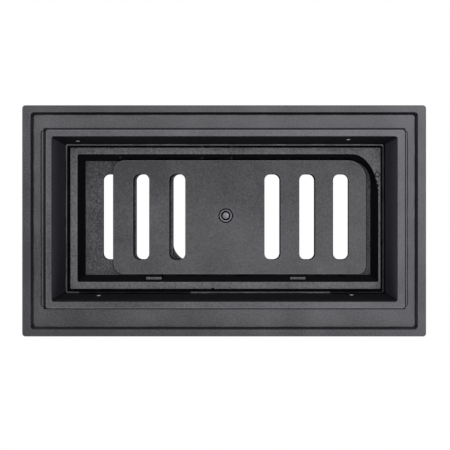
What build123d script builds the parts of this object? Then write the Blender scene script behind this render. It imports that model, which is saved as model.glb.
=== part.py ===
from build123d import *
import os
from math import asin, cos, hypot, radians, sin, tan

# Cast iron ash pit door: a frame whose collar goes into the masonry, a hinged door,
# an air slide behind the door and a drop latch in front of it.
# Millimetres. X to the right seen from the room, Y into the wall, Z up.
# Origin: centre of the collar's outline, on the plane where the flange meets the wall.

# Collar
collar_w = 270.0            # outer width at the rear end
collar_h = 135.0            # outer height at the rear end
collar_depth = 38.0         # from the wall face to the rear end
collar_wall = 5.75          # wall thickness at the rear end
collar_draft = 1.0          # outer draft in degrees, wider towards the flange
core_draft = 2.9            # inner draft in degrees, narrower towards the flange
core_shift = 0.7            # the core sat this far off centre in the mould
collar_corner_r = 2.5
core_corner_r = 1.6
collar_edge_r = 1.0

# Flange
flange_w = 320.0
flange_h = 183.2
flange_x = 1.25             # its centre, off the collar's centre
flange_z = -1.75
flange_t = 5.0
flange_corner_r = 2.5
flange_edge_r = 1.2
lip_w_side = 6.6            # rear lip that meets the wall
lip_w_top = 5.6
lip_height = 4.0            # depth of the recessed band behind the lip
lip_step = 1.3              # slope of the lip's inner side
border_w = 7.0              # plain outer border on the front
moulding_r = 3.0            # rounded shoulder of the raised front band
shoulder_in = 6.2           # low step round the collar's root, in from the lip's slope
shoulder_z = 2.0            # and beyond the collar above and below
shoulder_t = 1.0
shoulder_edge_r = 0.6

# Opening and door
ledge_w = 1.5               # seat left between the collar's core and the opening
opening_corner_r = 1.0
door_gap_x = 1.9            # rib to opening, each side
door_gap_z = 1.7
door_seat_gap = 0.3         # door border to the frame's front face
door_lap_x = 7.0            # how far the border laps past the rib
door_lap_z = 7.0
door_border_t = 4.7
door_corner_r = 3.0
door_edge_r = 1.5
door_x = 0.25               # door's centre
door_z = 0.25
rib_draft = 4.0             # outer draft of the rear rib in degrees
panel_depth = 9.0           # from the rib's rear face to the panel
panel_t = 4.0
rim_left = 1.9              # the rib's rear face, by side
rim_right = 5.9
rim_top = 5.4
rim_bottom = 5.9
recess_slope_x = 4.9        # run of the recess walls from mouth to floor
recess_slope_z = 4.8
recess_corner_r = 0.8
recess_edge_r = 0.5         # rounded edge of the recess mouth
recess_oval_x = 21.0        # one corner of the recess is a quarter of an oval at the mouth
recess_oval_z = 34.0
recess_floor_r = 16.0       # and round at the floor
field_inset = 12.0          # raised front field, in from the border's edge
field_slope = 2.4
field_corner_r = 4.0

# Air slots, unevenly spaced as cast
slot_w = 12.4
slot_h = 68.7
slot_end_r = 4.9            # flatter than a half round
slot_z = 1.4
slots_right = (20.4, 26.7, 29.9)    # steps in from the right edge of the panel
slots_left = (23.85, 27.5, 28.15)   # and in from the left edge
flash_w = 8.2               # casting flash left in a lower corner of the third slot
flash_h = 11.0
flash_hollow = 1.6          # its edge is hollow by this much
flash_t = 1.6

# Air slide
slide_end_gap = 3.75        # to the panel's left edge in the open position
slide_open_cover = 4.1      # its right end laps the first slot by this much when open
slide_shut_lap = 0.5        # travel beyond a slot's width
slide_t = 4.0
slide_gap = 0.4             # to the panel
slide_draft = 0.9           # edges run in by this much towards the panel
slide_top_gap = 0.35        # to the recess wall above
slide_slot_grow = 0.2       # its slots are this much wider than the door's
slide_slot_shift = (1.7, 2.65, -0.25, -0.05, 0.8)   # slide slots beside door slots 2 to 6
slide_corner_r = 9.5
slide_corner_low_r = 7.0
slide_corner_big_r = 15.0
slide_edge_r = 0.5          # rounded edge of the slide's rear
pad_w = 12.8                # two cast pads that carry the slide
pad_spacing = 115.1
pad_rise = 0.1              # pad top above the recess floor's lower edge
pad_reach = 6.2             # from the panel to the pad's rear face
pad_bevel = 1.4
pad_gap = 0.3

# Slide knob set
stud_r = 2.8
stud_z = 2.4
stud_slot_gap = 0.4
bush_r = 5.0
bush_sink_r = 3.8           # sunk mouth round the stud's end
bush_sink_d = 1.6
bush_rim = 0.8              # flared rim of the slide's hole
bush_rim_d = 1.5
washer_r = 9.0
washer_t = 1.2
washer_gap = 0.3
spring_washer_r = 6.6
spring_washer_t = 1.5
spring_washer_gap = 1.6
knob_r = 9.0
knob_neck_r = 5.0
knob_base_r = 6.5
knob_l = 19.0
knob_bore_l = 11.0
stud_tail = 0.3             # stud's end below the bush's face
stud_chamfer = 0.3
fit = 0.05                  # radial clearance of fixed fits
run_fit = 0.08              # radial clearance of turning fits
over = 1.0                  # overrun of through cuts

# Hinges
hinge_reach = 7.25          # from the door border's edge to the hinge axis
hinge_barrel_r = 6.0
hinge_floor_gap = 0.5       # barrel to the frame's front face
hinge_spacing = 72.0
knuckle_h = 13.0
ear_h = 7.0
knuckle_gap = 0.4
pin_r = 3.0
pin_head_r = 5.2
pin_head_h = 2.6
pin_tail = 2.5
pin_chamfer = 0.6
pin_dome = 1.1
strap_l = 17.0
strap_rise = 0.3            # strap's thin end above the border

# Latch
latch_in = 10.25            # pivot, in from the door border's edge
latch_z = 0.0
latch_back_deg = 12.0       # thrown back past upright when open
latch_boss_r = 9.0
latch_boss_rise = 0.8       # above the raised field
latch_washer_r = 7.6
latch_washer_t = 0.8
latch_play = 0.1
latch_edge = 0.6            # small broken edges of the latch's pieces
lever_t = 4.0
lever_half_w = 3.8
lever_eye_r = 7.6
lever_end_r = 5.6
lever_reach = 32.0          # pivot to knob
shoulder_screw_r = 4.0
latch_thread_r = 2.5
latch_thread_l = 9.0
screw_head_r = 6.4
screw_head_h = 3.2
screw_slot_w = 1.2
screw_slot_d = 1.3
latch_knob_r = 7.0
latch_knob_base_r = 5.4
latch_knob_neck_r = 3.8
latch_knob_l = 15.0
rivet_r = 2.4
rivet_head_r = 4.0
rivet_head_h = 1.2
keeper_w = 6.0
keeper_in = 18.0            # pivot to the keeper's near side
keeper_gap = 0.4            # lever to the keeper's bottom and front wall
keeper_arm = 6.5
keeper_wall = 3.5
keeper_lip = 5.0            # front wall above the pivot's height
stop_r = 2.5
stop_along = 24.0
stop_gap = 0.3

# Anchor holes through the collar: (x, y, up or down)
anchor_r = 2.5
anchor_holes = ((115.3, 12.0, 1), (-94.4, 21.6, 1), (99.8, 7.8, -1), (-99.3, 4.4, -1))

# Casting blemishes on the rear of the door's rib
blister_r = 1.9             # ring left round a gas blister
blister_groove_r = 0.35
blister_in = 2.5            # in from the rib's side
blister_z = 35.2
chips = ((4.0, 29.8, 1.1), (3.0, 26.2, 1.3), (2.7, 22.6, 1.0), (3.2, 19.2, 1.2))
nick_x = 10.4               # nick in the rib's lower edge
nick_r = 1.1

# Places worked out from the sizes above
band_y = -lip_height
front_y = band_y - flange_t
core_run = collar_depth + lip_height
core_w = collar_w - 2 * collar_wall
core_h = collar_h - 2 * collar_wall
core_narrow = 2 * core_run * tan(radians(core_draft))
opening_w = core_w - core_narrow - 2 * ledge_w
opening_h = core_h - core_narrow - 2 * ledge_w
rib_w = opening_w - 2 * door_gap_x
rib_h = opening_h - 2 * door_gap_z
border_rear_y = front_y - door_seat_gap
border_front_y = border_rear_y - door_border_t
border_door_w = rib_w + 2 * door_lap_x
border_door_h = rib_h + 2 * door_lap_z
rib_rear_y = band_y
panel_y = rib_rear_y - panel_depth
field_y = panel_y - panel_t
door_left = door_x - border_door_w / 2
door_right = door_x + border_door_w / 2
mouth_left = door_x - rib_w / 2 + rim_left
mouth_right = door_x + rib_w / 2 - rim_right
mouth_top = door_z + rib_h / 2 - rim_top
mouth_bottom = door_z - rib_h / 2 + rim_bottom
floor_left = mouth_left + recess_slope_x
floor_right = mouth_right - recess_slope_x
floor_top = mouth_top - recess_slope_z
floor_bottom = mouth_bottom + recess_slope_z
slot_x = [floor_right - sum(slots_right[:n + 1]) for n in range(len(slots_right))]
slot_x += [floor_left + sum(slots_left[:n + 1]) for n in reversed(range(len(slots_left)))]
third_slot_x = floor_right - sum(slots_right)
slide_travel = slot_w + slide_shut_lap
slide_left = floor_left + slide_end_gap
slide_right = floor_right - slots_right[0] - slot_w / 2 + slide_open_cover
slide_front_y = panel_y + slide_gap
slide_rear_y = slide_front_y + slide_t
pad_top = floor_bottom + pad_rise
slide_bottom = pad_top + pad_gap
slide_top = floor_top + recess_slope_z * slide_gap / panel_depth - slide_top_gap + slide_draft
washer_y = field_y - washer_gap
spring_washer_y = washer_y - washer_t
knob_y = spring_washer_y - spring_washer_t
hinge_x = door_left - hinge_reach
hinge_y = front_y - hinge_floor_gap - hinge_barrel_r
latch_x = door_right - latch_in
boss_y = field_y - latch_boss_rise
lever_rear_y = boss_y - latch_washer_t - latch_play
lever_front_y = lever_rear_y - lever_t
screw_head_y = lever_front_y - latch_play
keeper_wall_y = lever_front_y - keeper_gap
keeper_floor_z = latch_z - lever_half_w - keeper_gap


def across(y):
    """Upright plane at depth y; its normal points to the room."""
    return Plane(origin=(0, y, 0), x_dir=(1, 0, 0), z_dir=(0, -1, 0))


def oblong(y, width, height, radius, x=0.0, z=0.0):
    """Rounded rectangle on the upright plane at depth y."""
    return across(y) * (Pos(x, z) * RectangleRounded(width, height, radius))


def cornered(y, left, right, bottom, top, radii):
    """Rectangle from its sides; radii run lower left, lower right, upper right, upper left."""
    plain = Pos((left + right) / 2, (bottom + top) / 2) * Rectangle(right - left, top - bottom)
    corners = ((left, bottom), (right, bottom), (right, top), (left, top))
    shape = plain
    for (x, z), radius in zip(corners, radii):
        near = shape.vertices().sort_by_distance((x, z, 0))[0]
        shape = fillet(near, radius)
    return across(y) * shape


def recess_outline(y, left, right, bottom, top, oval_x, oval_z):
    """Recess outline at depth y: three small corners and a quarter of an oval."""
    small = recess_corner_r
    lines = [
        Line((left, top - oval_z), (left, bottom + small)),
        Line((left + small, bottom), (right - small, bottom)),
        Line((right, bottom + small), (right, top - small)),
        Line((right - small, top), (left + oval_x, top)),
    ]
    corners = [
        RadiusArc((left, bottom + small), (left + small, bottom), -small),
        RadiusArc((right - small, bottom), (right, bottom + small), -small),
        RadiusArc((right, top - small), (right - small, top), -small),
        EllipticalCenterArc((left + oval_x, top - oval_z), oval_x, oval_z, 90, arc_size=90),
    ]
    edges = [edge for pair in zip(lines, corners) for edge in pair]
    return across(y) * make_face(edges)


def disc(y, radius, x=0.0, z=0.0):
    """Circle on the upright plane at depth y."""
    return across(y) * (Pos(x, z) * Circle(radius))


def rod(y_rear, length, radius, x=0.0, z=0.0):
    """Round bar that runs from y_rear towards the room."""
    return extrude(disc(y_rear, radius, x, z), length)


def bore(y_rear, length, radius, x=0.0, z=0.0):
    """Round cut along the same line that overruns both ends."""
    return rod(y_rear + over, length + 2 * over, radius, x, z)


def front_edges(body):
    """Edges of the face nearest to the room."""
    return body.faces().sort_by(Axis.Y)[0].edges()


def rear_edges(body):
    """Edges of the face deepest in the wall."""
    return body.faces().sort_by(Axis.Y)[-1].edges()


def upright_slot(y, width, height, depth, x, z):
    """Upright cut with rounded ends from y towards the room that overruns both ends."""
    return extrude(oblong(y + over, width, height, slot_end_r, x, z), depth + 2 * over)


def flange():
    """Plate with a raised front band and a lip round the rear."""
    plate = extrude(oblong(0, flange_w, flange_h, flange_corner_r, flange_x, flange_z), flange_t)
    plate = fillet(front_edges(plate), flange_edge_r)
    band_w = flange_w - 2 * border_w
    band_h = flange_h - 2 * border_w
    band = extrude(
        oblong(-flange_t / 2, band_w, band_h, flange_corner_r + moulding_r, flange_x, flange_z),
        flange_t / 2 + lip_height,
    )
    band = fillet(front_edges(band), moulding_r)
    return plate + band


def lip_recess():
    """What the lip leaves sunk round the collar, on the rear of the flange."""
    inner_w = flange_w - 2 * lip_w_side
    inner_h = flange_h - 2 * lip_w_top
    return loft(
        [
            oblong(0, inner_w, inner_h, flange_corner_r, flange_x, flange_z),
            oblong(band_y, inner_w - 2 * lip_step, inner_h - 2 * lip_step, flange_corner_r,
                   flange_x, flange_z),
        ],
        ruled=True,
    )


def collar():
    """Drafted collar with the low step round its root."""
    spread = 2 * (collar_depth + lip_height) * tan(radians(collar_draft))
    wall = loft(
        [
            oblong(collar_depth, collar_w, collar_h, collar_corner_r),
            oblong(band_y, collar_w + spread, collar_h + spread, collar_corner_r),
        ],
        ruled=True,
    )
    wall = fillet(rear_edges(wall), collar_edge_r)
    step = extrude(
        oblong(band_y + shoulder_t, flange_w - 2 * (lip_w_side + lip_step + shoulder_in),
               collar_h + spread + 2 * shoulder_z, collar_corner_r, flange_x),
        shoulder_t,
    )
    return wall + fillet(rear_edges(step), shoulder_edge_r)


def core():
    """Everything that is open through the frame, with the ledge that stays."""
    inside = loft(
        [
            oblong(collar_depth, core_w, core_h, core_corner_r, core_shift),
            oblong(band_y, core_w - core_narrow, core_h - core_narrow, core_corner_r, core_shift),
        ],
        ruled=True,
    )
    through = extrude(oblong(0, opening_w, opening_h, opening_corner_r, core_shift),
                      lip_height + flange_t)
    return inside + through


def hinge_levels():
    """Middle heights of the two hinges."""
    return [door_z - hinge_spacing / 2, door_z + hinge_spacing / 2]


def hinge_ear(z_low):
    """Upright ear with a round nose, cast on the frame's front face."""
    nose = Pos(hinge_x, hinge_y) * Circle(hinge_barrel_r)
    foot_l = -flange_t / 2 - hinge_y
    foot = Pos(hinge_x, hinge_y + foot_l / 2) * Rectangle(2 * hinge_barrel_r, foot_l)
    return extrude(Plane.XY.offset(z_low) * (nose + foot), ear_h)


def hinge_ears():
    """All four ears, bored for the pins."""
    ears = Part()
    half = knuckle_h / 2 + knuckle_gap
    for level in hinge_levels():
        ears += hinge_ear(level + half)
        ears += hinge_ear(level - half - ear_h)
        ears -= Pos(hinge_x, hinge_y, level) * Cylinder(pin_r + fit, 2 * (half + ear_h + over))
    return ears


def keeper():
    """Hook, open upwards, that the latch lever drops into."""
    root_y = -flange_t / 2
    nose_y = keeper_wall_y - keeper_wall
    low_z = keeper_floor_z - keeper_arm
    top_z = latch_z + keeper_lip
    outline = make_face(
        Polyline(
            (root_y, low_z - keeper_arm / 2),
            (front_y, low_z - keeper_arm / 2),
            (keeper_wall_y, low_z),
            (nose_y, low_z + keeper_wall / 2),
            (nose_y, top_z),
            (keeper_wall_y - keeper_wall / 3, top_z),
            (keeper_wall_y, top_z - keeper_wall / 2),
            (keeper_wall_y, keeper_floor_z),
            (root_y, keeper_floor_z),
            close=True,
        )
    )
    side = Plane(origin=(latch_x + keeper_in, 0, 0), x_dir=(0, 1, 0), z_dir=(1, 0, 0))
    return extrude(side * outline, keeper_w)


def anchor_drills():
    """Round holes through the collar's top and bottom walls."""
    drills = Part()
    start = core_h / 2 - core_narrow / 2 - collar_wall
    for x, y, way in anchor_holes:
        mouth = Plane(origin=(x, y, way * start), x_dir=(1, 0, 0), z_dir=(0, 0, way))
        drills += extrude(mouth * Circle(anchor_r), 4 * collar_wall)
    return drills


def frame():
    """The whole frame, one casting."""
    casting = flange() + hinge_ears() + keeper()
    casting -= lip_recess()
    casting += collar()
    return casting - core() - anchor_drills()


def door_shell():
    """Border plate, rear rib and raised front field."""
    rib_l = rib_rear_y - border_front_y
    rib_grow = 2 * (rib_rear_y - border_rear_y) * tan(radians(rib_draft)) / 2
    border = extrude(
        oblong(border_rear_y, border_door_w, border_door_h, door_corner_r, door_x, door_z),
        door_border_t,
    )
    border = fillet(front_edges(border), door_edge_r)
    rib = loft(
        [
            oblong(rib_rear_y, rib_w, rib_h, opening_corner_r, door_x, door_z),
            oblong(rib_rear_y - rib_l, rib_w + rib_grow, rib_h + rib_grow, opening_corner_r,
                   door_x, door_z),
        ],
        ruled=True,
    )
    field_w = border_door_w - 2 * field_inset
    field_h = border_door_h - 2 * field_inset
    field = loft(
        [
            oblong(border_rear_y, field_w, field_h, field_corner_r, door_x, door_z),
            oblong(border_front_y, field_w, field_h, field_corner_r, door_x, door_z),
            oblong(field_y, field_w - 2 * field_slope, field_h - 2 * field_slope, field_corner_r,
                   door_x, door_z),
        ],
        ruled=True,
    )
    return border + rib + field


def recess():
    """Hollow behind the panel, with sloped walls and one very round corner."""
    return loft(
        [
            recess_outline(rib_rear_y, mouth_left, mouth_right, mouth_bottom, mouth_top,
                           recess_oval_x, recess_oval_z),
            recess_outline(panel_y, floor_left, floor_right, floor_bottom, floor_top,
                           recess_floor_r, recess_floor_r),
        ],
        ruled=True,
    )


def slide_pads():
    """Two pads in the bottom of the recess that carry the slide."""
    rear_y = panel_y + pad_reach
    deep_z = floor_bottom - recess_slope_z
    outline = make_face(
        Polyline(
            (panel_y - panel_t / 2, pad_top),
            (rear_y - pad_bevel, pad_top),
            (rear_y, pad_top - pad_bevel),
            (rear_y, deep_z),
            (panel_y - panel_t / 2, deep_z),
            close=True,
        )
    )
    pads = Part()
    for way in (-1, 1):
        near_x = way * pad_spacing / 2 - pad_w / 2
        side = Plane(origin=(near_x, 0, 0), x_dir=(0, 1, 0), z_dir=(1, 0, 0))
        pads += extrude(side * outline, pad_w)
    return pads


def door_slots():
    """Six air slots through the panel."""
    slots = Part()
    for x in slot_x:
        slots += upright_slot(panel_y, slot_w, slot_h, panel_t, x, slot_z)
    return slots


def stud_slot():
    """Short level slot that lets the knob's stud travel."""
    length = slide_travel + 2 * (stud_r + stud_slot_gap)
    outline = Pos(slide_travel / 2, stud_z) * SlotOverall(length, 2 * (stud_r + stud_slot_gap))
    return extrude(across(panel_y + over) * outline, panel_t + 2 * over)


def slot_flash():
    """Thin web of casting flash left across a lower corner of one slot."""
    side_x = third_slot_x + slot_w / 2
    low_z = slot_z - slot_h / 2
    high = (side_x, low_z + flash_h)
    low = (side_x - flash_w, low_z)
    chord = hypot(flash_w, flash_h)
    middle = (
        side_x - flash_w / 2 + flash_hollow * flash_h / chord,
        low_z + flash_h / 2 - flash_hollow * flash_w / chord,
    )
    outline = make_face(
        [
            ThreePointArc(high, middle, low),
            Polyline(low, (low[0], low_z - over), (side_x + over, low_z - over),
                     (side_x + over, high[1]), high),
        ]
    )
    return extrude(across(panel_y - flash_t / 2) * outline, flash_t)


def hinge_knuckle(level):
    """Barrel on the door with a tapered strap on to its border."""
    barrel = Pos(hinge_x, hinge_y) * Circle(hinge_barrel_r)
    strap = make_face(
        Polyline(
            (hinge_x, hinge_y + hinge_barrel_r),
            (hinge_x + strap_l, hinge_y + hinge_barrel_r),
            (hinge_x + strap_l, border_front_y - strap_rise),
            (hinge_x + hinge_barrel_r / 2, hinge_y - 0.8 * hinge_barrel_r),
            close=True,
        )
    )
    return extrude(Plane.XY.offset(level - knuckle_h / 2) * (barrel + strap), knuckle_h)


def latch_stop_place():
    """Where the stop peg stands, beside the lever as thrown back."""
    lean = radians(latch_back_deg)
    off = lever_half_w + stop_gap + stop_r
    x = latch_x - stop_along * sin(lean) - off * cos(lean)
    z = latch_z + stop_along * cos(lean) - off * sin(lean)
    return x, z


def latch_boss():
    """Round boss for the latch screw, and the stop peg."""
    root_y = border_front_y + over
    boss = rod(root_y, root_y - boss_y, latch_boss_r, latch_x, latch_z)
    boss = chamfer(front_edges(boss), latch_edge)
    x, z = latch_stop_place()
    peg = rod(root_y, root_y - lever_front_y, stop_r, x, z)
    peg = chamfer(front_edges(peg), latch_edge)
    return boss + peg


def blemishes():
    """Blister ring, chipped edge and nick in the rib's rear face."""
    side_x = door_x - rib_w / 2
    ring = Torus(blister_r, blister_groove_r)
    cuts = Pos(side_x + blister_in, rib_rear_y, blister_z) * Rot(90, 0, 0) * ring
    for inward, z, radius in chips:
        cuts += Pos(side_x + inward, rib_rear_y, z) * Sphere(radius)
    return cuts + Pos(nick_x, rib_rear_y, door_z - rib_h / 2) * Sphere(nick_r)


def door():
    """The door, one casting."""
    casting = door_shell() - recess()
    mouth = casting.faces().sort_by(Axis.Y)[-1].inner_wires()[0]
    casting = fillet(mouth.edges(), recess_edge_r)
    casting += slide_pads()
    casting -= door_slots() + stud_slot()
    casting += slot_flash()
    for level in hinge_levels():
        casting += hinge_knuckle(level)
        casting -= Pos(hinge_x, hinge_y, level) * Cylinder(pin_r + run_fit, knuckle_h + 2 * over)
    casting += latch_boss()
    casting -= bore(boss_y + latch_thread_l, latch_thread_l, latch_thread_r + fit,
                    latch_x, latch_z)
    return casting - blemishes()


def air_slide():
    """Slotted plate with drafted edges that opens or shuts the air slots."""
    left, right = slide_left, slide_right
    low, corner, big = slide_corner_low_r, slide_corner_r, slide_corner_big_r
    trim = slide_draft
    plate = loft(
        [
            cornered(slide_rear_y, left, right, slide_bottom, slide_top,
                     (low, corner, corner, big)),
            cornered(slide_front_y, left + trim, right - trim, slide_bottom + trim,
                     slide_top - trim, (low - trim, corner - trim, corner - trim, big - trim)),
        ],
        ruled=True,
    )
    plate = fillet(rear_edges(plate), slide_edge_r)
    for x, shift in zip(slot_x[1:], slide_slot_shift):
        plate -= upright_slot(slide_rear_y, slot_w + slide_slot_grow, slot_h, slide_t,
                              x + shift, slot_z)
    hole = bore(slide_rear_y, slide_t, bush_r + fit, 0, stud_z)
    rim = loft([disc(slide_rear_y, bush_r + fit + bush_rim, 0, stud_z),
                disc(slide_rear_y - bush_rim_d, bush_r + fit, 0, stud_z)])
    return plate - hole - rim


def slide_bush():
    """Bush pressed into the slide, sunk round the stud's end."""
    bush = rod(slide_rear_y, slide_t, bush_r, 0, stud_z)
    mouth = loft([disc(slide_rear_y, bush_sink_r, 0, stud_z),
                  disc(slide_rear_y - bush_sink_d, stud_r + fit, 0, stud_z)])
    return bush - bore(slide_rear_y, slide_t, stud_r + fit, 0, stud_z) - mouth


def slide_stud():
    """Plain stud from the bush to the knob."""
    rear = slide_rear_y - stud_tail
    stud = rod(rear, rear - knob_y + knob_bore_l - stud_r / 2, stud_r, 0, stud_z)
    return chamfer(rear_edges(stud), stud_chamfer)


def slide_washer():
    """Flat washer that slides on the front of the panel."""
    washer = rod(washer_y, washer_t, washer_r, 0, stud_z)
    return washer - bore(washer_y, washer_t, stud_r + run_fit, 0, stud_z)


def slide_spring_washer():
    """Split spring washer, cut through on one side."""
    ring = rod(spring_washer_y, spring_washer_t, spring_washer_r, 0, stud_z)
    ring -= bore(spring_washer_y, spring_washer_t, stud_r + run_fit, 0, stud_z)
    cut = Pos(0, spring_washer_y - spring_washer_t / 2, stud_z + spring_washer_r) * Rot(0, 20, 0)
    return ring - cut * Box(spring_washer_gap, 2 * spring_washer_t, 2 * spring_washer_r)


def turned_knob(y, base_r, neck_r, head_r, length, x, z):
    """Mushroom knob turned about a level axis, from its base at y towards the room."""
    base_l = 0.12 * length
    head_from = 0.52 * length
    dome_from = 0.78 * length
    edge_r = 0.86 * head_r
    foot = (base_r, -base_l)
    throat = (neck_r, -(base_l + head_from) / 2)
    under = (edge_r, -head_from)
    brow = (head_r, -(head_from + dome_from) / 2)
    shoulder = (edge_r, -dome_from)
    rise = length - dome_from
    dome_r = (edge_r ** 2 + rise ** 2) / (2 * rise)
    half_turn = asin(edge_r / dome_r) / 2
    crown = (dome_r * sin(half_turn), dome_r - length - dome_r * cos(half_turn))
    profile = make_face(
        [
            Polyline((0, -length), (0, 0), (base_r, 0), foot),
            ThreePointArc(foot, throat, under),
            ThreePointArc(under, brow, shoulder),
            ThreePointArc(shoulder, crown, (0, -length)),
        ]
    )
    return Pos(x, y, z) * revolve(profile, Axis.Y)


def slide_knob():
    """Turned knob that works the air slide."""
    knob = turned_knob(knob_y, knob_base_r, knob_neck_r, knob_r, knob_l, 0, stud_z)
    return knob - rod(knob_y + over, knob_bore_l + over, stud_r + fit, 0, stud_z)


def hinge_pin(level):
    """Headed pin through two ears and the knuckle between them."""
    half = knuckle_h / 2 + knuckle_gap + ear_h
    shank = Pos(hinge_x, hinge_y, level - pin_tail / 2) * Cylinder(pin_r, 2 * half + pin_tail)
    shank = chamfer(shank.faces().sort_by(Axis.Z)[0].edges(), pin_chamfer)
    head_at = Pos(hinge_x, hinge_y, level + half + pin_head_h / 2)
    head = head_at * Cylinder(pin_head_r, pin_head_h)
    head = chamfer(head.faces().sort_by(Axis.Z)[-1].edges(), pin_dome)
    return shank + head


def along_lever(distance):
    """Point on the thrown-back lever's middle line, by distance from the pivot."""
    lean = radians(latch_back_deg)
    return latch_x - distance * sin(lean), latch_z + distance * cos(lean)


def latch_lever():
    """Flat lever with a pivot eye and a round end for its knob."""
    eye = Circle(lever_eye_r)
    bar = Pos(0, lever_reach / 2) * Rectangle(2 * lever_half_w, lever_reach)
    end = Pos(0, lever_reach) * Circle(lever_end_r)
    outline = eye + bar + end
    placed = Pos(latch_x, latch_z) * Rot(0, 0, latch_back_deg) * outline
    lever = extrude(across(lever_rear_y) * placed, lever_t)
    lever = chamfer(front_edges(lever), latch_edge)
    knob_x, knob_z = along_lever(lever_reach)
    lever -= bore(lever_rear_y, lever_t, shoulder_screw_r + run_fit, latch_x, latch_z)
    lever -= bore(lever_rear_y, lever_t, rivet_r + fit, knob_x, knob_z)
    sink = loft([disc(lever_rear_y, rivet_head_r + fit, knob_x, knob_z),
                 disc(lever_rear_y - rivet_head_h, rivet_r + fit, knob_x, knob_z)])
    return lever - sink


def latch_washer():
    """Washer between the boss and the lever."""
    washer = rod(boss_y, latch_washer_t, latch_washer_r, latch_x, latch_z)
    return washer - bore(boss_y, latch_washer_t, latch_thread_r + run_fit, latch_x, latch_z)


def latch_screw():
    """Shoulder screw that the lever turns on."""
    thread_rear_y = boss_y + latch_thread_l
    shoulder_y = boss_y - latch_washer_t
    screw = rod(thread_rear_y, latch_thread_l + latch_washer_t, latch_thread_r, latch_x, latch_z)
    screw += rod(shoulder_y, shoulder_y - screw_head_y, shoulder_screw_r, latch_x, latch_z)
    head = rod(screw_head_y, screw_head_h, screw_head_r, latch_x, latch_z)
    head = chamfer(front_edges(head), latch_edge)
    slot_y = screw_head_y - screw_head_h + screw_slot_d / 2
    cut = Pos(latch_x, slot_y, latch_z) * Rot(0, 35, 0)
    return screw + head - cut * Box(3 * screw_head_r, screw_slot_d, screw_slot_w)


def latch_knob():
    """Finger knob on the lever's end."""
    x, z = along_lever(lever_reach)
    knob = turned_knob(lever_front_y, latch_knob_base_r, latch_knob_neck_r, latch_knob_r,
                       latch_knob_l, x, z)
    return knob - rod(lever_front_y + over, latch_knob_l / 2 + over, rivet_r + fit, x, z)


def latch_knob_rivet():
    """Countersunk rivet that holds the knob on the lever."""
    x, z = along_lever(lever_reach)
    shank = rod(lever_rear_y, lever_t + latch_knob_l / 2 - rivet_r / 4, rivet_r, x, z)
    head = loft([disc(lever_rear_y, rivet_head_r, x, z),
                 disc(lever_rear_y - rivet_head_h, rivet_r, x, z)])
    return shank + head


lower_level, upper_level = hinge_levels()
nodes = {
    "frame": frame(),
    "door": door(),
    "air_slide": air_slide(),
    "slide_bush": slide_bush(),
    "slide_stud": slide_stud(),
    "slide_washer": slide_washer(),
    "slide_spring_washer": slide_spring_washer(),
    "slide_knob": slide_knob(),
    "hinge_pin_lower": hinge_pin(lower_level),
    "hinge_pin_upper": hinge_pin(upper_level),
    "latch_lever": latch_lever(),
    "latch_washer": latch_washer(),
    "latch_screw": latch_screw(),
    "latch_knob": latch_knob(),
    "latch_knob_rivet": latch_knob_rivet(),
}

os.makedirs("parts", exist_ok=True)
for name, solid in nodes.items():
    export_step(solid, f"parts/{name}.step")
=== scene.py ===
"""Looks of a cast iron ash pit door, seen from its masonry side."""

import logging
import math
from dataclasses import dataclass
from enum import Enum

import bpy
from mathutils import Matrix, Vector


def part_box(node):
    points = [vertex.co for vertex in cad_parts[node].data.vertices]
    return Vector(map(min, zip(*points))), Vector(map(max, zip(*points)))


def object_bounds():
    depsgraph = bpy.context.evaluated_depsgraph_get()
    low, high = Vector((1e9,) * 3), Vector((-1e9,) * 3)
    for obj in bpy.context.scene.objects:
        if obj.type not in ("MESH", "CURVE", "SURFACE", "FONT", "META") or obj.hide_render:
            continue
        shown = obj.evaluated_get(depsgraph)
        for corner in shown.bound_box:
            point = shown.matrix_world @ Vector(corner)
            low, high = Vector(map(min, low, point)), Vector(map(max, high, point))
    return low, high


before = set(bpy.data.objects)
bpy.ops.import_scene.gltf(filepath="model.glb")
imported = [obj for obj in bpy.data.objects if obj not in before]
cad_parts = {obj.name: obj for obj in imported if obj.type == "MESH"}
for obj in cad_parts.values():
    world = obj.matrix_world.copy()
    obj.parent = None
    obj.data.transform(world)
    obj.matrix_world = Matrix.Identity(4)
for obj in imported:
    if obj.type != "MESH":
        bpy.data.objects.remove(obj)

logging.basicConfig(level=logging.INFO, format="%(message)s")
LOG = logging.getLogger("ash_pit_door")

MM = 0.001
CAD_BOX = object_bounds()

Box = tuple[float, float, float, float]         # X range and Z range
Point = tuple[float, float, float]
Slab = tuple[float, float, float, float, float, float]      # X, Y and Z range

# Cosines between which a face is taken to look one way, from not at all to fully
SQUARE = (0.93, 0.985)          # along the depth
LEVEL = (0.985, 0.9999)         # along the depth and clear of every edge
ROOM_SLOPE = (0.8, 0.95)        # to the room, where hinge straps rise and knuckles are round
UPRIGHT = (0.93, 0.99)          # to either side
UPWARD = (0.6, 0.95)            # up

# Parts of a noise's range, stretched to the full one
CALM = (0.3, 0.7)
CRISP = (0.35, 0.65)

SOFT_MM = 0.25                  # how far a mask fades on either side of its border
WAVE_FACTOR = 20                # by which the wave texture multiplies its scale


class Facing(Enum):
    """Directions that a lamp shines in, in the part's frame."""

    DOWN = (0.0, 0.0, -1.0)
    UP = (0.0, 0.0, 1.0)
    TO_LEFT = (-1.0, 0.0, 0.0)
    TO_RIGHT = (1.0, 0.0, 0.0)


def linear(colour: str) -> tuple[float, float, float, float]:
    """Turns an sRGB hex value to linear light.

    Args:
        colour: Six hex digits after a hash, such as "#4a4a4c".

    Returns:
        Red, green, blue and an alpha of 1.
    """
    parts = [int(colour[i:i + 2], 16) / 255 for i in (1, 3, 5)]
    light = [c / 12.92 if c <= 0.04045 else ((c + 0.055) / 1.055) ** 2.4 for c in parts]
    return (light[0], light[1], light[2], 1.0)


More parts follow.
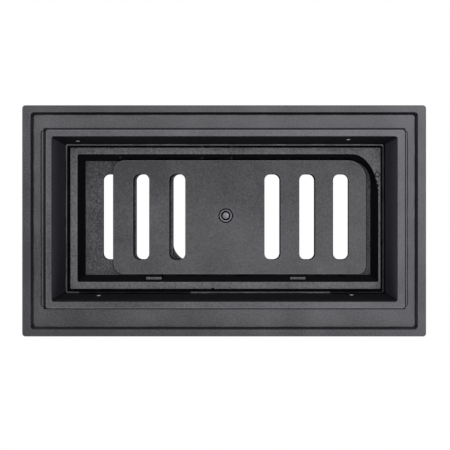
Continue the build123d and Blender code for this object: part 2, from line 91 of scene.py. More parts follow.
def add_node(
    tree: bpy.types.NodeTree,
    kind: str,
    settings: dict | None = None,
    values: dict | None = None,
    links: dict | None = None,
) -> bpy.types.Node:
    """Adds one node with its settings, socket values and incoming links.

    Args:
        tree: Node tree that takes the node.
        kind: Blender's name for the node type.
        settings: Properties of the node itself.
        values: Default values by input name or number.
        links: Output sockets by the input name or number that they feed.

    Returns:
        The new node.
    """
    node = tree.nodes.new(kind)
    for name, value in (settings or {}).items():
        setattr(node, name, value)
    for name, value in (values or {}).items():
        node.inputs[name].default_value = value
    for name, source in (links or {}).items():
        tree.links.new(source, node.inputs[name])
    return node


def noise(
    tree: bpy.types.NodeTree, place: bpy.types.NodeSocket, size_mm: float, detail: float = 2.0,
) -> bpy.types.NodeSocket:
    """Adds an even noise.

    Args:
        tree: Node tree that takes the nodes.
        place: Coordinates in metres.
        size_mm: Distance between its lumps in millimetres.
        detail: Number of finer layers on top.

    Returns:
        Its value, from about 0.2 to 0.8.
    """
    texture = add_node(
        tree, "ShaderNodeTexNoise",
        values={"Scale": 1000 / size_mm, "Detail": detail, "Roughness": 0.55},
        links={"Vector": place},
    )
    return texture.outputs["Fac"]


def ramp(
    tree: bpy.types.NodeTree,
    value: bpy.types.NodeSocket,
    source: tuple[float, float],
    target: tuple[float, float] = (0.0, 1.0),
) -> bpy.types.NodeSocket:
    """Adds a straight map between two ranges, held at both ends.

    Args:
        tree: Node tree that takes the node.
        value: Value to map.
        source: Its own range.
        target: Range that it is mapped to.

    Returns:
        The mapped value.
    """
    node = add_node(
        tree, "ShaderNodeMapRange",
        values={"From Min": source[0], "From Max": source[1],
                "To Min": target[0], "To Max": target[1]},
        links={"Value": value},
    )
    return node.outputs[0]


def reckon(
    tree: bpy.types.NodeTree,
    operation: str,
    *terms: bpy.types.NodeSocket | float,
    clamp: bool = True,
) -> bpy.types.NodeSocket:
    """Adds a calculation.

    Args:
        tree: Node tree that takes the node.
        operation: Blender's name for it.
        terms: Sockets or plain numbers, in order.
        clamp: Whether the result is kept between 0 and 1.

    Returns:
        The result.
    """
    node = add_node(
        tree, "ShaderNodeMath",
        settings={"operation": operation, "use_clamp": clamp},
        values={i: t for i, t in enumerate(terms) if isinstance(t, (int, float))},
        links={i: t for i, t in enumerate(terms) if not isinstance(t, (int, float))},
    )
    return node.outputs[0]


def blend(
    tree: bpy.types.NodeTree,
    share: bpy.types.NodeSocket,
    under: bpy.types.NodeSocket | str,
    over: bpy.types.NodeSocket | str,
) -> bpy.types.NodeSocket:
    """Adds a mix of two colours.

    Args:
        tree: Node tree that takes the node.
        share: Share of the second colour.
        under: First colour, as a socket or a hex value.
        over: Second colour, as a socket or a hex value.

    Returns:
        The mixed colour.
    """
    ends = {6: under, 7: over}
    node = add_node(
        tree, "ShaderNodeMix",
        settings={"data_type": "RGBA"},
        values={i: linear(c) for i, c in ends.items() if isinstance(c, str)},
        links={0: share} | {i: c for i, c in ends.items() if not isinstance(c, str)},
    )
    return node.outputs[2]


@dataclass(frozen=True)
class Skin:
    """Sockets that the colour, the gloss and the relief of a casting share."""

    place: bpy.types.NodeSocket     # object coordinates in metres
    mottle: bpy.types.NodeSocket    # patches of thick and thin paint
    grain: bpy.types.NodeSocket     # sand grain
    sweep: bpy.types.NodeSocket     # soft unevenness
    pits: bpy.types.NodeSocket      # 1 at the bottom of a pit
    clean: bpy.types.NodeSocket     # 0 in the painted shade of a corner and 1 in the open
    square: bpy.types.NodeSocket    # 1 towards the room or the wall, 0 across the depth
    upright: bpy.types.NodeSocket   # 1 towards either side
    upward: bpy.types.NodeSocket    # 1 towards the top
    edge: bpy.types.NodeSocket      # 1 on the painted highlight beside an edge, partly worn paint
    layer: bpy.types.NodeSocket     # 1 in the layer that has its own painted light and shade


@dataclass(frozen=True)
class PaintedCastIron:
    """Sand-cast grey iron under matt black heat-proof paint.

    The sand mould leaves a fine even grain, and the thin paint fills only part of it. Flat
    faces are worn to a dark grey. Painted light and shade lie on top: a painted highlight
    beside their edges, painted shade in near black on the walls across the depth, the rounded
    edges, the corners, gaps, recesses and pits, and painted light that changes across the part,
    so every edge reads as a dark line with a thin lit one next to it.
    """

    name: str
    flat: str = "#4a4a4d"           # faces towards the room or the wall, rubbed grey
    worn: str = "#727276"           # the same where the paint lies thin
    rubbed_highlight: str = "#8e8e92"         # painted highlight beside an edge, partly worn paint
    wall: str = "#1b1b1e"           # painted shade on faces across the depth, in near black
    side_wall: str = "#1b1b1e"      # painted shade of those of them that look sideways
    upward_wall: str = "#28282b"     # painted shade of those that look up
    shade_black: str = "#060607"           # painted shade in corners, recesses, pits and narrow gaps
    bare_and_glint: str = "#b4b4b6"           # painted glint, and uncoated iron in drilled holes
    wear: float = 0.15              # least share of worn paint
    wear_range: float = 0.5         # and how much the patches and the grain add
    fleck_share: float = 0.5        # part of that from the grain
    light_drift: Point = (0.0, 0.0, 0.0)  # painted light: more of the worn grey per metre along X, Y and Z
    layer_mm: tuple[float, float] = (-6.0, -1.0)    # depths with their own painted light and shade
    layer_hole: Box | None = None   # what that layer leaves out, in millimetres
    layer_light: float = 0.0         # painted light: more of the worn grey in the layer
    shade_box: Box | None = None     # what the layer's painted shade lies round, in millimetres
    shade_inside: bool = False       # or fills instead
    shade_lines: tuple[Slab, ...] = ()       # edges outlined by painted lines of shade, in millimetres
    shade_share: float = 0.95        # how much of the paint all that painted shade hides
    edge_highlight: float = 0.5           # strength of the painted highlight beside an edge
    roughness: float = 0.55
    roughness_swing: float = 0.06   # rougher and smoother by the patches
    sheen: float = 0.1              # matt paint reflects little
    grain_mm: float = 1.3           # sand grain, drawn as coarse as it needs to show
    grain_depth_mm: float = 0.10
    sweep_mm: float = 9.0           # soft unevenness of the casting's skin
    sweep_depth_mm: float = 0.12
    mottle_mm: float = 42.0         # patches of thicker and thinner paint
    pit_mm: float = 7.0             # mean distance between pits
    pit_share: float = 0.12         # share of those places that hold a pit
    pit_reach: float = 0.16         # size of a pit as a share of that distance
    pit_depth_mm: float = 0.25
    pit_shade: float = 0.3           # how dark the painted shade at a pit's bottom is
    edge_mm: float = 0.45           # how far the casting's edges are rounded
    outline_mm: float = 1.0         # how far the painted shade and the painted highlight come over an edge
    corner_mm: float = 1.2          # mean reach of the painted shade out of a corner
    corner_swing: float = 1.2       # and how much the noise patches change it
    corner_open: tuple[float, float] = (0.35, 0.85)     # openness where it starts and ends
    hollow_mm: float = 22.0         # reach of the painted shade in a recess
    hollow_open: tuple[float, float] = (0.4, 0.95)      # openness at its darkest and lightest
    hollow_dark: float = 0.95       # brightness left at the bottom of it
    glint_spots_mm: tuple[Point, ...] = ()         # middles of the painted glints
    glint_r_mm: float = 2.5
    glint_fade: tuple[float, float] = (1.04, 1.3)        # shares of that radius where it ends
    glint_stretch: Point = (1.5, 1.0, 0.05)  # narrow to the sides, and long along the hole

    def build(self) -> bpy.types.Material:
        """Makes the material.

        Returns:
            Material with its colour, gloss and relief from procedural nodes.
        """
        material = bpy.data.materials.new(self.name)
        material.use_nodes = True
        tree = material.node_tree
        tree.nodes.clear()
        skin = self.survey(tree)
        matt = reckon(tree, "MULTIPLY", skin.clean, skin.square)
        shader = add_node(
            tree, "ShaderNodeBsdfPrincipled",
            links={
                "Base Color": self.colour(tree, skin),
                "Specular IOR Level": reckon(tree, "MULTIPLY", matt, self.sheen),
                "Roughness": ramp(tree, skin.mottle, (0.0, 1.0),
                                  (self.roughness + self.roughness_swing,
                                   self.roughness - self.roughness_swing)),
                "Normal": self.relief(tree, skin),
            },
        )
        add_node(tree, "ShaderNodeOutputMaterial", links={"Surface": shader.outputs[0]})
        return material

    def survey(self, tree: bpy.types.NodeTree) -> Skin:
        """Adds the patterns and masks that all parts of the finish start from.

        Args:
            tree: The material's node tree.

        Returns:
            Their sockets.
        """
        place = add_node(tree, "ShaderNodeTexCoord").outputs["Object"]
        sweep = noise(tree, place, self.sweep_mm)
        sideways, depthwise, roomwards, upwards = self.looks(tree)
        axes = add_node(tree, "ShaderNodeSeparateXYZ", links={0: place})
        layer = self.between(tree, axes.outputs["Y"], *self.layer_mm)
        if self.layer_hole:
            left_out = self.in_box(tree, axes, self.layer_hole)
            layer = reckon(tree, "SUBTRACT", layer, left_out)
        free_of_shade = self.free_of_shade(tree, axes, layer)
        flat = ramp(tree, depthwise, SQUARE)
        square = reckon(tree, "MAXIMUM", flat, ramp(tree, roomwards, ROOM_SLOPE))
        return Skin(
            place=place,
            mottle=noise(tree, place, self.mottle_mm, detail=3.0),
            grain=noise(tree, place, self.grain_mm),
            sweep=sweep,
            pits=self.pits(tree, place),
            clean=reckon(tree, "MULTIPLY", self.open_air(tree, sweep), free_of_shade),
            square=square,
            upright=ramp(tree, sideways, UPRIGHT),
            upward=ramp(tree, upwards, UPWARD),
            edge=reckon(tree, "SUBTRACT", flat, ramp(tree, depthwise, LEVEL)),
            layer=layer,
        )

    def between(
        self, tree: bpy.types.NodeTree, value: bpy.types.NodeSocket, low_mm: float, high_mm: float,
    ) -> bpy.types.NodeSocket:
        """Adds a mask of a range along one axis, soft at both ends.

        Args:
            tree: The material's node tree.
            value: Coordinate in metres.
            low_mm: Start of the range.
            high_mm: End of the range.

        Returns:
            1 in the range, else 0.
        """
        above = ramp(tree, value, ((low_mm - SOFT_MM) * MM, (low_mm + SOFT_MM) * MM))
        below = ramp(tree, value, ((high_mm - SOFT_MM) * MM, (high_mm + SOFT_MM) * MM), (1.0, 0.0))
        return reckon(tree, "MULTIPLY", above, below)

    def in_box(
        self, tree: bpy.types.NodeTree, axes: bpy.types.Node, box: Box,
    ) -> bpy.types.NodeSocket:
        """Adds a mask of an upright rectangle, seen along the depth.

        Args:
            tree: The material's node tree.
            axes: Node with the three coordinates in metres.
            box: Its X range and its Z range in millimetres.

        Returns:
            1 in the rectangle, else 0.
        """
        left, right, low, high = box
        return reckon(
            tree, "MULTIPLY",
            self.between(tree, axes.outputs["X"], left, right),
            self.between(tree, axes.outputs["Z"], low, high),
        )

    def free_of_shade(
        self, tree: bpy.types.NodeTree, axes: bpy.types.Node, layer: bpy.types.NodeSocket,
    ) -> bpy.types.NodeSocket | float:
        """Adds painted shade round a joint between two castings or at a collar's foot, and along
        edges.

        Args:
            tree: The material's node tree.
            axes: Node with the three coordinates in metres.
            layer: Mask of the layer with its own painted shade.

        Returns:
            Share of paint that it leaves free.
        """
        if self.shade_box is None:
            return 1.0
        box = self.in_box(tree, axes, self.shade_box)
        side = box if self.shade_inside else reckon(tree, "SUBTRACT", 1.0, box)
        shaded = reckon(tree, "MULTIPLY", layer, side)
        for left, right, front, rear, low, high in self.shade_lines:
            upright = self.in_box(tree, axes, (left, right, low, high))
            depth = self.between(tree, axes.outputs["Y"], front, rear)
            shaded = reckon(tree, "MAXIMUM", shaded, reckon(tree, "MULTIPLY", upright, depth))
        return ramp(tree, shaded, (0.0, 1.0), (1.0, 1.0 - self.shade_share))

    def looks(self, tree: bpy.types.NodeTree) -> tuple[bpy.types.NodeSocket, ...]:
        """Adds the ways in which a face looks, with its edges rounded.

        Args:
            tree: The material's node tree.

        Returns:
            How far it looks to either side, along the part's depth, to the room, and up.
        """
        rounded = add_node(tree, "ShaderNodeBevel", settings={"samples": 8},
                           values={"Radius": self.outline_mm * MM})
        own = add_node(
            tree, "ShaderNodeVectorTransform",
            settings={"vector_type": "NORMAL", "convert_from": "WORLD", "convert_to": "OBJECT"},
            links={0: rounded.outputs[0]},
        )
        parts = add_node(tree, "ShaderNodeSeparateXYZ", links={0: own.outputs[0]})
        cast = add_node(tree, "ShaderNodeTexCoord").outputs["Normal"]
        facet = add_node(tree, "ShaderNodeSeparateXYZ", links={0: cast})
        depthwise = reckon(
            tree, "MINIMUM",
            reckon(tree, "ABSOLUTE", parts.outputs["Y"]),
            reckon(tree, "ABSOLUTE", facet.outputs["Y"]),
        )
        sideways = reckon(tree, "ABSOLUTE", parts.outputs["X"])
        roomwards = reckon(tree, "MULTIPLY", parts.outputs["Y"], -1.0)
        return sideways, depthwise, roomwards, parts.outputs["Z"]

    def pits(
        self, tree: bpy.types.NodeTree, place: bpy.types.NodeSocket,
    ) -> bpy.types.NodeSocket:
        """Adds the pits that gas leaves in the casting's skin.

        Args:
            tree: The material's node tree.
            place: Object coordinates in metres.

        Returns:
            Depth of the pits, 1 at the bottom.
        """
        cells = add_node(
            tree, "ShaderNodeTexVoronoi",
            settings={"feature": "F1"},
            values={"Scale": 1000 / self.pit_mm, "Randomness": 1.0},
            links={"Vector": place},
        )
        chosen = reckon(tree, "LESS_THAN", cells.outputs["Color"], self.pit_share)
        depth = ramp(tree, cells.outputs["Distance"], (0.0, self.pit_reach), (1.0, 0.0))
        return reckon(tree, "MULTIPLY", chosen, depth)

    def open_air(
        self, tree: bpy.types.NodeTree, sweep: bpy.types.NodeSocket,
    ) -> bpy.types.NodeSocket:
        """Adds ragged painted shade in corners and narrow gaps.

        Args:
            tree: The material's node tree.
            sweep: Noise that makes the painted shade reach out more and less.

        Returns:
            Share of paint free of painted shade, 0 at the bottom of a corner and 1 in the open.
        """
        least = self.corner_mm * MM * (1 - self.corner_swing / 2)
        most = self.corner_mm * MM * (1 + self.corner_swing / 2)
        nook = add_node(
            tree, "ShaderNodeAmbientOcclusion",
            settings={"samples": 8},
            links={"Distance": ramp(tree, sweep, CRISP, (least, most))},
        )
        return ramp(tree, nook.outputs["AO"], self.corner_open)

    def glint_spots(
        self, tree: bpy.types.NodeTree, place: bpy.types.NodeSocket,
    ) -> bpy.types.NodeSocket:
        """Adds a mask of painted glints on level walls, with uncoated iron in the sides of drilled
        holes.

        Args:
            tree: The material's node tree.
            place: Object coordinates in metres.

        Returns:
            1 in the middle of a spot and 0 away from it.
        """
        stretch = Vector(self.glint_stretch)
        fade = tuple(share * self.glint_r_mm * MM for share in self.glint_fade)
        squeezed = add_node(
            tree, "ShaderNodeVectorMath",
            settings={"operation": "MULTIPLY"},
            values={1: stretch},
            links={0: place},
        )
        bare_and_glint = 0.0
        for spot in self.glint_spots_mm:
            away = add_node(
                tree, "ShaderNodeVectorMath",
                settings={"operation": "DISTANCE"},
                values={1: Vector(spot) * stretch * MM},
                links={0: squeezed.outputs[0]},
            )
            near = ramp(tree, away.outputs["Value"], fade, (1.0, 0.0))
            bare_and_glint = reckon(tree, "MAXIMUM", bare_and_glint, near)
        return bare_and_glint

    def colour(self, tree: bpy.types.NodeTree, skin: Skin) -> bpy.types.NodeSocket:
        """Adds the paint's colour by wear, and painted light and shade by the way a face looks, by
        its corners and recesses.

        Args:
            tree: The material's node tree.
            skin: Patterns and masks of the finish.

        Returns:
            Colour socket for the shader.
        """
        patch = ramp(tree, skin.mottle, CALM, (0.0, self.wear_range * (1 - self.fleck_share)))
        fleck = ramp(tree, skin.grain, CRISP, (0.0, self.wear_range * self.fleck_share))
        # painted light: lighter and darker across the part by light_drift
        along = add_node(
            tree, "ShaderNodeVectorMath",
            settings={"operation": "DOT_PRODUCT"},
            values={1: self.light_drift},
            links={0: skin.place},
        )
        # painted light: more of the worn grey in the layer, by layer_light
        least = ramp(tree, skin.layer, (0.0, 1.0), (self.wear, self.wear + self.layer_light))
        even = reckon(tree, "ADD", along.outputs["Value"], least, clamp=False)
        patchy = reckon(tree, "ADD", even, patch, clamp=False)
        thin = blend(tree, reckon(tree, "ADD", patchy, fleck), self.flat, self.worn)
        # painted shade, darker deeper in recesses
        deep = add_node(
            tree, "ShaderNodeAmbientOcclusion",
            settings={"samples": 6},
            values={"Distance": self.hollow_mm * MM},
        )
        shade = ramp(tree, deep.outputs["AO"], self.hollow_open, (self.hollow_dark, 1.0))
        recess_shaded = blend(tree, shade, self.shade_black, thin)
        # painted highlight beside the edges, partly worn paint
        lined = blend(tree, reckon(tree, "MULTIPLY", skin.edge, self.edge_highlight), recess_shaded, self.rubbed_highlight)
        # painted shade at the bottom of pits
        pitted = blend(tree, reckon(tree, "MULTIPLY", skin.pits, self.pit_shade), lined, self.shade_black)
        # painted shade: near black on walls across the depth, lighter where they look sideways or
        # up
        level = blend(tree, skin.upward, self.wall, self.upward_wall)
        across = blend(tree, skin.upright, level, self.side_wall)
        painted = blend(tree, skin.square, across, pitted)
        # painted shade in corners, in gaps, round the shade box and along the shade lines
        shaded = blend(tree, skin.clean, self.shade_black, painted)
        if not self.glint_spots_mm:
            return shaded
        # painted glints on set spots, with uncoated iron in drilled holes
        return blend(tree, self.glint_spots(tree, skin.place), shaded, self.bare_and_glint)

    def relief(self, tree: bpy.types.NodeTree, skin: Skin) -> bpy.types.NodeSocket:
        """Adds the casting's skin: rounded edges, soft unevenness, sand grain and pits.

        Args:
            tree: The material's node tree.
            skin: Patterns and masks of the finish.

        Returns:
            Normal socket for the shader.
        """
        rounded = add_node(tree, "ShaderNodeBevel", settings={"samples": 6},
                           values={"Radius": self.edge_mm * MM})
        swept = add_node(
            tree, "ShaderNodeBump",
            values={"Strength": 1.0, "Distance": self.sweep_depth_mm * MM},
            links={"Height": skin.sweep, "Normal": rounded.outputs[0]},
        )
        grained = add_node(
            tree, "ShaderNodeBump",
            values={"Strength": 1.0, "Distance": self.grain_depth_mm * MM},
            links={"Height": skin.grain, "Normal": swept.outputs[0]},
        )
        pitted = add_node(
            tree, "ShaderNodeBump",
            settings={"invert": True},
            values={"Strength": 1.0, "Distance": self.pit_depth_mm * MM},
            links={"Height": skin.pits, "Normal": grained.outputs[0]},
        )
        return pitted.outputs[0]


@dataclass(frozen=True)
class TurnedSteel:
    """Mild steel turned on a lathe and left to dull.

    The tool leaves fine rings round the axis, so the gloss spreads across them, and the
    uncoated metal has gone a little grey and uneven.
    """

    name: str
    metal: str = "#414144"
    tarnish: str = "#303031"
    gap_shade: str = "#070707"          # painted shade in the gaps round it
    gap_shade_mm: float = 1.0           # and how far it reaches out of them
    gap_open: tuple[float, float] = (0.4, 0.8)      # openness where it starts and ends
    roughness: float = 0.42
    roughness_range: tuple[float, float] = (-0.06, 0.12)    # what the tarnish adds to it
    edge_mm: float = 0.25           # broken edges
    ring_mm: float = 3.456          # tool feed, drawn far coarser than it is, so that it shows
    ring_wander: float = 0.4        # how far the rings are from true
    ring_depth_mm: float = 0.02
    ring_strength: float = 0.6
    tarnish_mm: float = 5.0
    tarnish_spread: tuple[float, float] = (0.4, 0.75)       # part of its noise from clean to dull
    centre: Point = (0.0, 0.0, 0.0)
    upright: bool = False           # axis along Z instead of along Y

    def build(self) -> bpy.types.Material:
        """Makes the material.

        Returns:
            Metal with turning rings round its own axis.
        """
        material = bpy.data.materials.new(self.name)
        material.use_nodes = True
        tree = material.node_tree
        tree.nodes.clear()
        place = add_node(tree, "ShaderNodeTexCoord").outputs["Object"]
        centred = add_node(
            tree, "ShaderNodeMapping",
            settings={"vector_type": "POINT"},
            values={"Location": tuple(-c for c in self.centre)},
            links={"Vector": place},
        )
        rings = add_node(
            tree, "ShaderNodeTexWave",
            settings={"wave_type": "RINGS", "rings_direction": "Z" if self.upright else "Y"},
            values={"Scale": math.tau / (WAVE_FACTOR * self.ring_mm * MM),
                    "Distortion": self.ring_wander, "Detail": 1.0},
            links={"Vector": centred.outputs[0]},
        )
        blotch = add_node(
            tree, "ShaderNodeTexNoise",
            values={"Scale": 1000 / self.tarnish_mm, "Detail": 4.0, "Roughness": 0.6},
            links={"Vector": place},
        )
        dulled = ramp(tree, blotch.outputs["Fac"], self.tarnish_spread)
        colour = blend(tree, dulled, self.metal, self.tarnish)
        # painted shade in the gaps round the piece
        gap = add_node(
            tree, "ShaderNodeAmbientOcclusion",
            settings={"samples": 8},
            values={"Distance": self.gap_shade_mm * MM},
        )
        gap_shaded = blend(tree, ramp(tree, gap.outputs["AO"], self.gap_open), self.gap_shade, colour)
        smooth, rough = (self.roughness + change for change in self.roughness_range)
        gloss = ramp(tree, blotch.outputs["Fac"], (0.0, 1.0), (smooth, rough))
        rounded = add_node(tree, "ShaderNodeBevel", settings={"samples": 6},
                           values={"Radius": self.edge_mm * MM})
        cut = add_node(
            tree, "ShaderNodeBump",
            values={"Strength": self.ring_strength, "Distance": self.ring_depth_mm * MM},
            links={"Height": rings.outputs["Fac"], "Normal": rounded.outputs[0]},
        )
        shader = add_node(
            tree, "ShaderNodeBsdfPrincipled",
            values={"Metallic": 1.0},
            links={
                "Base Color": gap_shaded,
                "Roughness": gloss,
                "Normal": cut.outputs[0],
            },
        )
        add_node(tree, "ShaderNodeOutputMaterial", links={"Surface": shader.outputs[0]})
        return material


def dress(node: str, material: bpy.types.Material) -> None:
    """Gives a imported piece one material.

    Args:
        node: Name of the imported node.
        material: Finish of the whole piece.
    """
    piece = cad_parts[node]
    piece.data.materials.clear()
    piece.data.materials.append(material)
    LOG.info("dressed %s in %s", node, material.name)


def middle(node: str) -> Point:
    """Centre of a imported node's box.

    Args:
        node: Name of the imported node.

    Returns:
        The centre in metres.
    """
    low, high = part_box(node)
    return tuple((a + b) / 2 for a, b in zip(low, high))


@dataclass
class FrameCasting:
    """Flange, collar, ledge, hinge ears and keeper, in one casting."""

    finish: PaintedCastIron = PaintedCastIron(
        name="painted_cast_iron_frame",
        # wall, side_wall and upward_wall: painted shade on the walls across the depth
        flat="#3c3c3f", wall="#28282c", side_wall="#4c4c53", upward_wall="#404044",
        # light_drift: painted light, brighter towards -X, the wall side and the top
        wear=0.06, wear_range=0.55, light_drift=(-1.5, 3.4, 2.0),
        # layer_light: painted light on the flange round the collar
        layer_hole=(-125.3, 133.0, -65.0, 65.0), layer_light=0.15,
        # painted shadow round the collar's foot, in the layer
        shade_box=(-143.2, 145.3, -72.3, 72.3), shade_inside=True, shade_share=0.85,
        # painted dark lines of shade along these edges
        shade_lines=(
            (146.45, 147.3, -6.0, -1.0, -69.5, 70.0),       # edge of the low shoulder
            (-135.3, -134.2, 35.0, 39.0, -67.0, 67.0),      # edge of the collar's end
            (28.0, 117.0, -6.0, -1.0, -60.0, -57.9),        # lower ledge, on its +X stretch
            (-130.0, -83.0, -6.0, -1.0, -60.0, -57.9),      # and on its -X one
        ),
        outline_mm=1.2, corner_open=(0.5, 0.95),
        # painted glints on the collar's walls at the drilled holes
        glint_spots_mm=((115.3, 12.0, 68.0), (-94.4, 21.6, 68.0), (99.8, 7.8, -68.0),
                 (-99.3, 4.4, -68.0)),
    )

    def dress(self) -> None:
        """Paints the casting."""
        dress("frame", self.finish.build())


@dataclass
class DoorCasting:
    """Door with its slotted panel, coarser and more pitted than the frame."""

    finish: PaintedCastIron = PaintedCastIron(
        name="painted_cast_iron_door",
        # wall, side_wall and upward_wall: painted shade on the walls across the depth
        flat="#36363a", worn="#7c7c80", wall="#131315", side_wall="#151518",
        # bare_and_glint: painted glints on the recess wall
        upward_wall="#1e1e21", bare_and_glint="#2e2e30",
        # edge_highlight: painted highlight beside the edges
        # light_drift: painted light, lighter towards the wall side and lower down
        wear=0.3, wear_range=0.6, fleck_share=0.6, light_drift=(0.0, 34.0, -2.0), edge_highlight=0.7,
        # shade_box: painted shade in the gap round the door, in the layer
        layer_mm=(-12.0, 0.0), shade_box=(-124.0, 124.5, -55.9, 56.6),
        # corner_mm and corner_open: painted shade in the corners
        corner_mm=1.4, corner_open=(0.5, 0.95),
        # painted shade in the recess, darkest at its bottom
        hollow_mm=12.0, hollow_open=(0.42, 0.77), hollow_dark=0.2,
        grain_mm=1.5, grain_depth_mm=0.16,
        # pit_shade: painted shade at the bottom of the pits
        pit_mm=4.5, pit_share=0.4, pit_reach=0.22, pit_depth_mm=0.4, pit_shade=0.5,
        # painted glints on the recess's top wall, where no hole is
        glint_spots_mm=((19.0, -9.0, 42.0), (-4.6, -9.0, 42.0), (84.4, -8.0, 42.0)), glint_r_mm=1.3,
    )

    def dress(self) -> None:
        """Paints the casting."""
        dress("door", self.finish.build())


@dataclass
class AirSlide:
    """Slotted plate that opens and shuts the air."""

    finish: PaintedCastIron = PaintedCastIron(
        name="painted_cast_iron_slide",
        # rubbed_highlight and edge_highlight: painted highlight beside the edges
        flat="#3c3c3f", rubbed_highlight="#a4a4a8",
        # light_drift: painted light, lighter towards -X and lower down
        wear=0.02, light_drift=(-1.2, 0.0, -4.0), edge_highlight=0.45, pit_share=0.05,
    )

    def dress(self) -> None:
        """Paints the plate."""
        dress("air_slide", self.finish.build())


@dataclass
class TurnedHardware:
    """Bush, stud, washers, knobs, pins and screw, all turned from steel."""

    level: tuple[str, ...] = (
        "slide_stud", "slide_washer", "slide_spring_washer",
        "latch_washer", "latch_screw", "latch_knob_rivet",
    )
    upright: tuple[str, ...] = ("hinge_pin_lower", "hinge_pin_upper")
    knobs: tuple[str, ...] = ("slide_knob", "latch_knob")

    def dress(self) -> None:
        """Gives each piece its own rings round its own axis."""
        for node in self.level:
            finish = TurnedSteel(name=f"turned_steel_{node}", centre=middle(node))
            dress(node, finish.build())
        bush = TurnedSteel(name="turned_steel_dark_bush", metal="#343437", tarnish="#28282a",
                           centre=middle("slide_bush"))
        dress("slide_bush", bush.build())
        for node in self.upright:
            finish = TurnedSteel(name=f"turned_steel_{node}", centre=middle(node), upright=True)
            dress(node, finish.build())
        for node in self.knobs:
            finish = TurnedSteel(name=f"polished_steel_{node}", metal="#a6a6a9",
                                 roughness=0.28, centre=middle(node))
            dress(node, finish.build())


@dataclass
class DropLatch:
    """Flat lever, painted like the castings and worn brighter."""

    finish: PaintedCastIron = PaintedCastIron(
        name="painted_iron_lever", roughness=0.45, grain_depth_mm=0.06, pit_share=0.04,
    )

    def dress(self) -> None:
        """Paints the lever."""
        dress("latch_lever", self.finish.build())


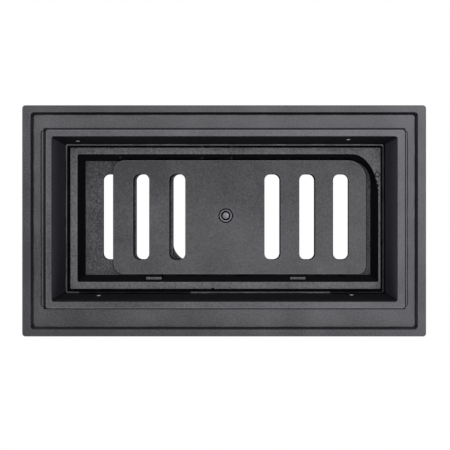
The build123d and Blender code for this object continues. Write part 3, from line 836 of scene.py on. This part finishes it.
@dataclass
class Studio:
    """Pale floor, white surround, a soft panel at front and rear, and even lamps at the sides."""

    floor_drop: float = 0.45        # metres below the part
    floor_radius: float = 1.1
    floor_sides: int = 96
    floor_colour: str = "#efefef"
    floor_roughness: float = 0.9
    ambient: float = 0.12           # strength of the surround as a light
    panel_size: tuple[float, float] = (0.7, 0.35)
    key_power: float = 53.0         # watts
    key_place: Point = (0.03, 2.6, 0.05)
    front_power: float = 55.0
    front_place: Point = (0.6, -2.4, 0.9)
    side_strength: float = 0.8
    top_strength: float = 0.96
    bottom_strength: float = 0.32
    side_angle: float = math.radians(12)

    def build_floor(self) -> None:
        """Lays a round floor well below the part."""
        bpy.ops.mesh.primitive_circle_add(
            vertices=self.floor_sides, radius=self.floor_radius, fill_type="NGON",
            location=(0, 0, CAD_BOX[0][2] - self.floor_drop),
        )
        floor = bpy.context.object
        floor.name = "floor"
        material = bpy.data.materials.new("pale_floor")
        material.use_nodes = True
        shader = material.node_tree.nodes["Principled BSDF"]
        shader.inputs["Base Color"].default_value = linear(self.floor_colour)
        shader.inputs["Roughness"].default_value = self.floor_roughness
        floor.data.materials.append(material)

    def build_world(self) -> None:
        """White to the camera and in reflections, and dim as a light."""
        world = bpy.data.worlds.new("surround")
        bpy.context.scene.world = world
        world.use_nodes = True
        tree = world.node_tree
        tree.nodes.clear()
        path = add_node(tree, "ShaderNodeLightPath")
        seen = add_node(
            tree, "ShaderNodeMath", settings={"operation": "MAXIMUM"},
            links={0: path.outputs["Is Camera Ray"], 1: path.outputs["Is Glossy Ray"]},
        )
        clear = add_node(
            tree, "ShaderNodeMath", settings={"operation": "MAXIMUM"},
            links={0: seen.outputs[0], 1: path.outputs["Is Transmission Ray"]},
        )
        dim = add_node(tree, "ShaderNodeBackground",
                       values={"Color": (1, 1, 1, 1), "Strength": self.ambient})
        white = add_node(tree, "ShaderNodeBackground",
                         values={"Color": (1, 1, 1, 1), "Strength": 1.0})
        both = add_node(
            tree, "ShaderNodeMixShader",
            links={0: clear.outputs[0], 1: dim.outputs[0], 2: white.outputs[0]},
        )
        add_node(tree, "ShaderNodeOutputWorld", links={"Surface": both.outputs[0]})

    def add_panel(self, name: str, place: Point, power: float) -> None:
        """Hangs a wide soft panel that faces the part.

        Args:
            name: Name of the lamp.
            place: Where it hangs, in metres.
            power: Its power in watts.
        """
        lamp = bpy.data.lights.new(name, "AREA")
        lamp.energy = power
        lamp.shape = "RECTANGLE"
        lamp.size, lamp.size_y = self.panel_size
        holder = bpy.data.objects.new(name, lamp)
        holder.location = place
        holder.rotation_euler = (-Vector(place)).to_track_quat("-Z", "Y").to_euler()
        bpy.context.collection.objects.link(holder)

    def add_side(self, facing: Facing, strength: float) -> None:
        """Adds an even lamp square to the depth, which can't reach inside the collar.

        Args:
            facing: Direction in which it shines.
            strength: Its strength.
        """
        name = f"side_{facing.name.lower()}"
        lamp = bpy.data.lights.new(name, "SUN")
        lamp.energy = strength
        lamp.angle = self.side_angle
        holder = bpy.data.objects.new(name, lamp)
        holder.rotation_euler = Vector(facing.value).to_track_quat("-Z", "Y").to_euler()
        bpy.context.collection.objects.link(holder)

    def build(self) -> None:
        """Builds floor, surround and lamps."""
        self.build_floor()
        self.build_world()
        self.add_panel("rear_panel", self.key_place, self.key_power)
        self.add_panel("front_panel", self.front_place, self.front_power)
        self.add_side(Facing.DOWN, self.top_strength)
        self.add_side(Facing.UP, self.bottom_strength)
        self.add_side(Facing.TO_LEFT, self.side_strength)
        self.add_side(Facing.TO_RIGHT, self.side_strength)


@dataclass
class Viewpoint:
    """Camera square to the wall side, with the photograph's perspective."""

    image_px: float = 450.0
    focal_px: float = 853.9
    centre_px: tuple[float, float] = (230.0, 213.0)     # where the optical axis meets the image
    place: Point = (-0.0034, 0.6767, 0.0045)
    sensor_mm: float = 36.0
    nearest: float = 0.01           # metres

    def build(self) -> None:
        """Makes the scene's camera."""
        camera = bpy.data.cameras.new("rear_view")
        camera.sensor_width = self.sensor_mm
        camera.lens = self.focal_px / self.image_px * self.sensor_mm
        half = self.image_px / 2
        camera.shift_x = (half - self.centre_px[0]) / self.image_px
        camera.shift_y = (self.centre_px[1] - half) / self.image_px
        camera.clip_start = self.nearest
        holder = bpy.data.objects.new("rear_view", camera)
        holder.location = self.place
        holder.rotation_euler = (math.radians(90), 0.0, math.radians(180))
        bpy.context.collection.objects.link(holder)
        bpy.context.scene.camera = holder


def main() -> None:
    """Dresses each sub-assembly and sets up the studio."""
    for assembly in (FrameCasting(), DoorCasting(), AirSlide(), TurnedHardware(), DropLatch()):
        assembly.dress()
        LOG.info("finished %s", type(assembly).__name__)
    Studio().build()
    LOG.info("built the studio")
    Viewpoint().build()
    LOG.info("set the camera")
    bpy.context.scene.view_settings.view_transform = "Standard"


if __name__ == "__main__":
    main()
